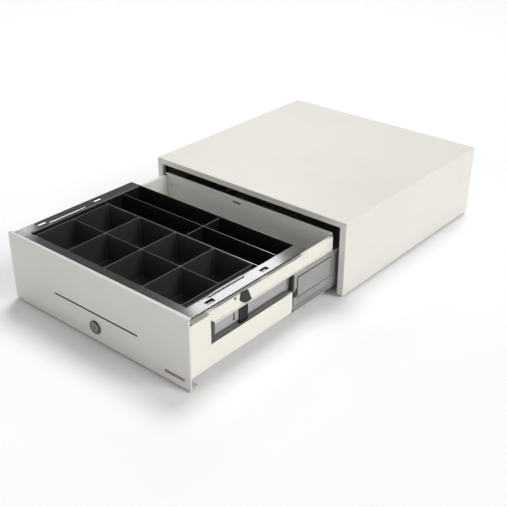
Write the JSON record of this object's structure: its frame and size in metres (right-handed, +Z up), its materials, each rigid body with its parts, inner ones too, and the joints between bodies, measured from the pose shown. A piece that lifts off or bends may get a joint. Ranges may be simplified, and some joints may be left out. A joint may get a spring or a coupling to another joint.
{
  "type": "cash drawer",
  "caption": "Open till drawer on telescopic runners in a low steel cabinet, with coin cups, upright note compartments, key lock and paper slot.",
  "frame": {"origin": "on the surface the feet stand on, under the middle of the overall length and width with the drawer fully open", "axes": "+Y from the drawer front to the cabinet's back, +X to the right of a person facing the drawer, +Z up"},
  "size_m": [0.41, 0.7456, 0.132],
  "materials": {
    "cabinet_paint": "fine-textured light grey powder coat",
    "front_paint": "fine-textured light grey powder coat",
    "drawer_paint": "light grey powder coat",
    "base_zinc": "zinc-plated sheet",
    "runner_zinc": "zinc-plated cold-rolled steel",
    "insert_rim": "satin-gloss black moulding",
    "cup_plastic": "fine-grained charcoal moulding",
    "black_plastic": "fine-grained black nylon",
    "grey_plastic": "mid-grey moulding",
    "white_nylon": "self-lubricating natural nylon",
    "black_rubber": "matt",
    "chrome": "polished nickel-chrome plate",
    "screw_steel": "bright zinc",
    "spring_steel": "bright drawn wire",
    "label": "blank satin plate",
    "coil_tape": "varnished tape over the winding",
    "board_green": "solder-masked board"
  },
  "bodies": {
    "cabinet": {"cabinet_shell": "cabinet_paint", "cabinet_base": "cabinet_paint", "rear_panel": "cabinet_paint", "rear_panel_screws": "screw_steel", "rubber_feet": "black_rubber", "track_left": "runner_zinc", "track_right": "runner_zinc", "track_rivets": "screw_steel", "latch_bracket": "base_zinc", "latch_bracket_screws": "screw_steel", "latch_pivot_pin": "screw_steel", "latch_spring": "spring_steel", "solenoid_frame": "base_zinc", "solenoid_coil": "coil_tape", "microswitch_body": "black_plastic", "rear_stop_left": "base_zinc", "rear_stop_right": "base_zinc", "closing_buffers": "black_rubber", "ejector_guides": "screw_steel", "ejector_springs": "spring_steel", "interface_board": "board_green", "board_standoffs": "screw_steel", "data_socket": "black_plastic"},
    "drawer": {"drawer_tray": "drawer_paint", "side_panel_left": "drawer_paint", "side_panel_right": "drawer_paint", "front_panel": "front_paint", "front_panel_screws": "screw_steel", "label_plate": "label", "lock_housing": "chrome", "lock_nut": "screw_steel", "drawer_rail_left": "runner_zinc", "drawer_rail_right": "runner_zinc", "rail_rivets": "screw_steel", "window_cap_left": "grey_plastic", "window_cap_right": "grey_plastic", "insert_clip_left": "black_plastic", "insert_clip_right": "black_plastic", "striker": "base_zinc", "striker_rivets": "screw_steel", "insert_frame": "insert_rim", "coin_tray": "cup_plastic", "retainer_wire_left": "spring_steel", "retainer_wire_right": "spring_steel"},
    "lock_cylinder": {"lock_plug": "chrome", "lock_bolt": "base_zinc", "lock_bolt_screw": "screw_steel"},
    "runner_unit_left": {"runner_left": "runner_zinc", "rail_shoes_left": "white_nylon", "track_saddles_left": "white_nylon", "runner_bumper_left": "black_rubber", "runner_stop_left": "black_plastic"},
    "runner_unit_right": {"runner_right": "runner_zinc", "rail_shoes_right": "white_nylon", "track_saddles_right": "white_nylon", "runner_bumper_right": "black_rubber", "runner_stop_right": "black_plastic"},
    "latch": {"latch_lever": "base_zinc"},
    "plunger": {"solenoid_plunger": "screw_steel"},
    "switch_arm": {"microswitch_lever": "spring_steel"}
  },
  "joints": [
    {"name": "drawer_slide", "type": "slide", "parent": "cabinet", "child": "drawer", "axis": [0, 1, 0], "range_m": [0, 0.335]},
    {"name": "runner_left_slide", "type": "slide", "parent": "cabinet", "child": "runner_unit_left", "axis": [0, 1, 0], "range_m": [0, 0.1675]},
    {"name": "runner_right_slide", "type": "slide", "parent": "cabinet", "child": "runner_unit_right", "axis": [0, 1, 0], "range_m": [0, 0.1675]},
    {"name": "lock_turn", "type": "hinge", "parent": "drawer", "child": "lock_cylinder", "pos_m": [0, -0.36525, 0.026], "axis": [0, 1, 0], "range_deg": [0, 90]},
    {"name": "latch_turn", "type": "hinge", "parent": "cabinet", "child": "latch", "pos_m": [0.012, 0.34975, 0.0425], "axis": [0, 0, 1], "range_deg": [0, 14], "stiffness_Nm_per_rad": 0.04, "deforming": ["latch_spring"]},
    {"name": "plunger_slide", "type": "slide", "parent": "cabinet", "child": "plunger", "axis": [1, 0, 0], "range_m": [0, 0.0052]},
    {"name": "switch_turn", "type": "hinge", "parent": "cabinet", "child": "switch_arm", "pos_m": [-0.0054, 0.34875, 0.0424], "axis": [0, 0, 1], "range_deg": [0, 14.5]}
  ],
  "couplings": [
    {"joint": "runner_left_slide", "follows": "drawer_slide", "ratio": 0.5},
    {"joint": "runner_right_slide", "follows": "drawer_slide", "ratio": 0.5},
    {"joint": "plunger_slide", "follows": "latch_turn", "m_per_rad": 0.0209},
    {"joint": "switch_turn", "follows": "latch_turn", "ratio": 1}
  ]
}
